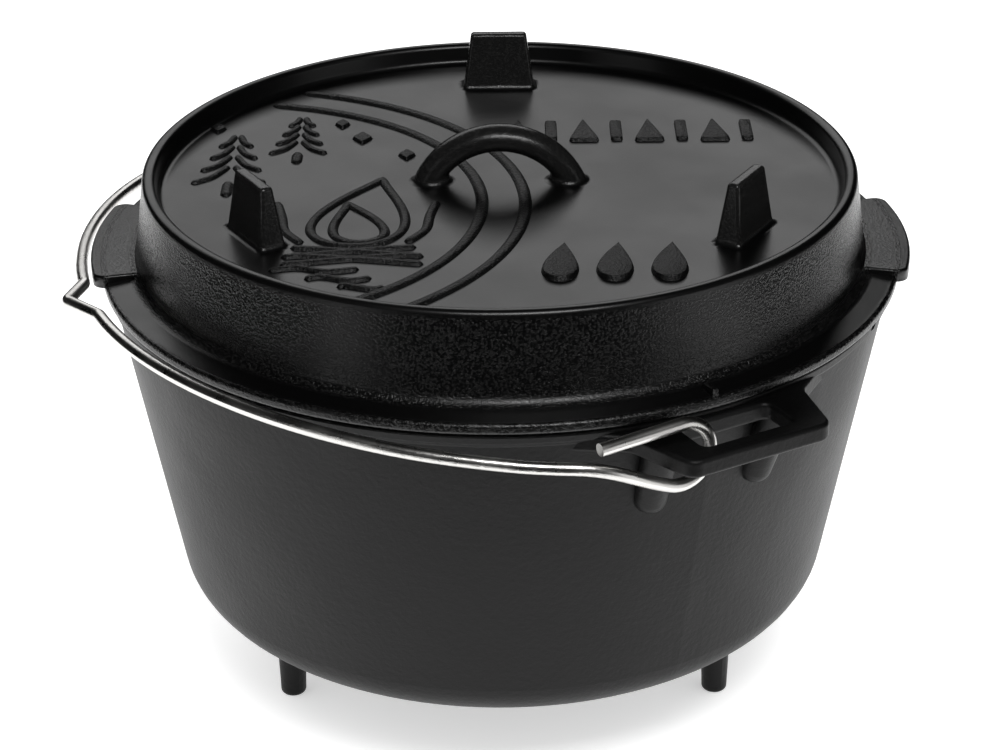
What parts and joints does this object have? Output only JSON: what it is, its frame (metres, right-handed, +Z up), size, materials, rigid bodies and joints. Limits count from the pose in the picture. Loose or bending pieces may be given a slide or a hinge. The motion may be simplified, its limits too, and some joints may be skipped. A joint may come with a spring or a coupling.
{
  "type": "cast iron dutch oven",
  "caption": "Footed cast iron camp pot with loop ears, a deep rimmed lid that stands on its own feet when turned over, and a hooked wire bail.",
  "frame": {"origin": "on the pot's axis at floor level, under the tips of the three legs", "axes": "+Z up; +X through both ears, which is the bail's hinge direction; the bail lies down towards -Y"},
  "size_m": [0.372, 0.3346, 0.2332],
  "materials": {
    "pot_iron": "satin seasoned, fine cast grain",
    "lid_iron": "semi-gloss seasoned, pebbled cast wall",
    "bail_wire": "bright drawn wire"
  },
  "bodies": {
    "pot": {"pot": "pot_iron"},
    "lid": {"lid": "lid_iron"},
    "bail": {"bail_handle": "bail_wire"}
  },
  "joints": [
    {"name": "lid_lift", "type": "slide", "parent": "pot", "child": "lid", "axis": [0, 0, 1], "range_m": [0, 0.012]},
    {"name": "bail_swing", "type": "hinge", "parent": "pot", "child": "bail", "pos_m": [0, -0.0259, 0.1704], "axis": [-1, 0, 0], "range_deg": [0, 118]}
  ]
}
